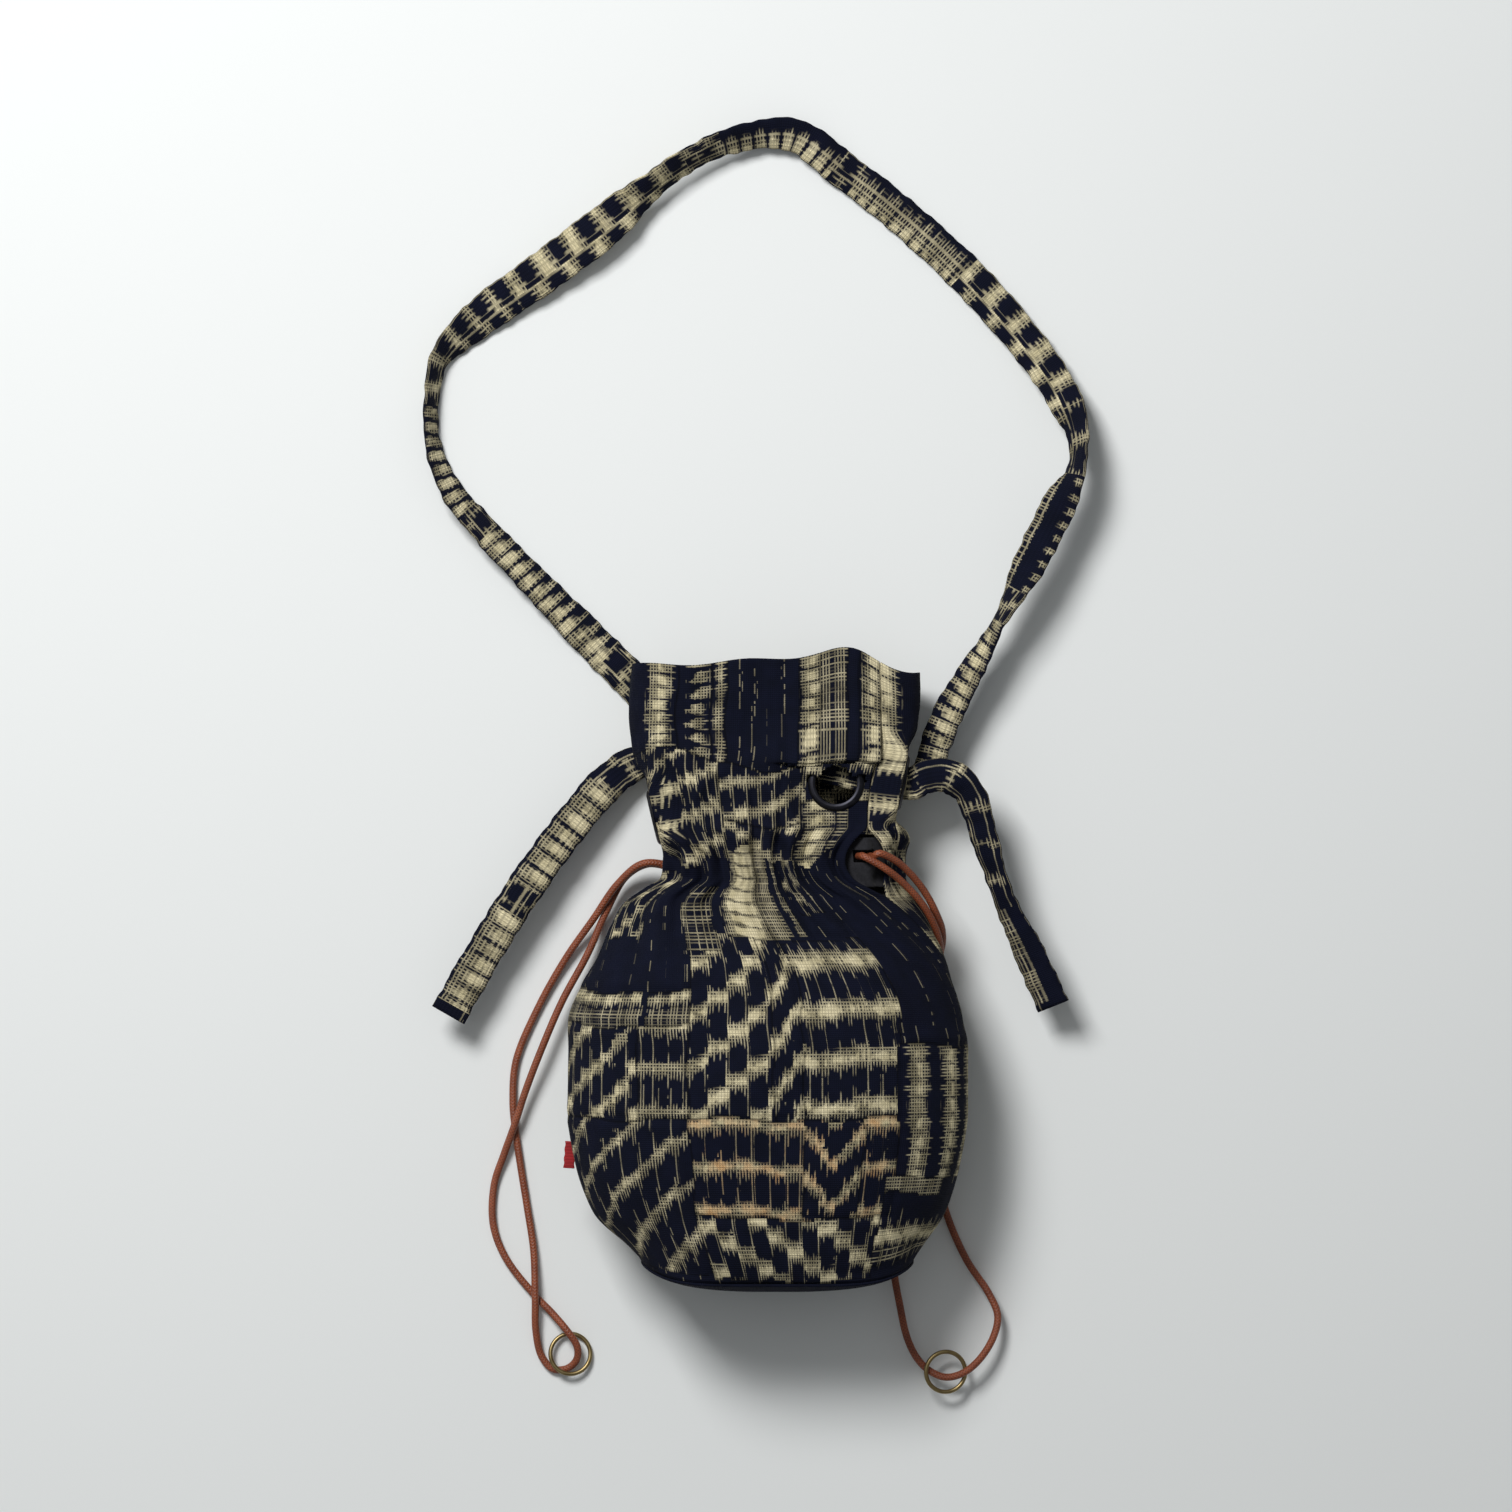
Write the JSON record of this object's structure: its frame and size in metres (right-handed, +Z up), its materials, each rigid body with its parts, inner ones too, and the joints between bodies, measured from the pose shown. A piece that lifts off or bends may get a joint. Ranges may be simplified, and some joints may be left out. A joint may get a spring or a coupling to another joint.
{
  "type": "drawstring shoulder bag",
  "caption": "Soft patchwork cloth pouch with a gathered neck, drawcords ending in rings, metal eyelets in the collar and a flat cloth shoulder strap, lying on its back.",
  "frame": {"origin": "middle of the flat patch of the back panel that the body rests on, on the floor", "axes": "+X across the bag to the viewer's right, +Y from the base to the mouth and the shoulder loop, +Z up from the floor"},
  "size_m": [0.3637, 0.6993, 0.106],
  "materials": {
    "kasuri_cloth": "matte indigo cotton with cream kasuri threads",
    "black_cloth": "matte plain black cotton",
    "waxed_cord": "round rust-brown cord with a soft sheen",
    "dark_metal": "dark gunmetal plating",
    "old_brass": "aged brass",
    "red_tape": "matte red woven tape"
  },
  "bodies": {
    "root": {"back_panel": "kasuri_cloth", "base_panel": "kasuri_cloth", "channel_band": "black_cloth", "cord_ring_left": "old_brass", "cord_ring_right": "old_brass", "drawcord_left": "waxed_cord", "drawcord_right": "waxed_cord", "eyelet_back_left": "dark_metal", "eyelet_back_right": "dark_metal", "eyelet_front_left": "dark_metal", "eyelet_front_right": "dark_metal", "front_panel": "kasuri_cloth", "lining": "black_cloth", "seam_tab": "red_tape", "shoulder_strap": "kasuri_cloth", "washer_back_left": "dark_metal", "washer_back_right": "dark_metal", "washer_front_left": "dark_metal", "washer_front_right": "dark_metal"}
  },
  "joints": []
}
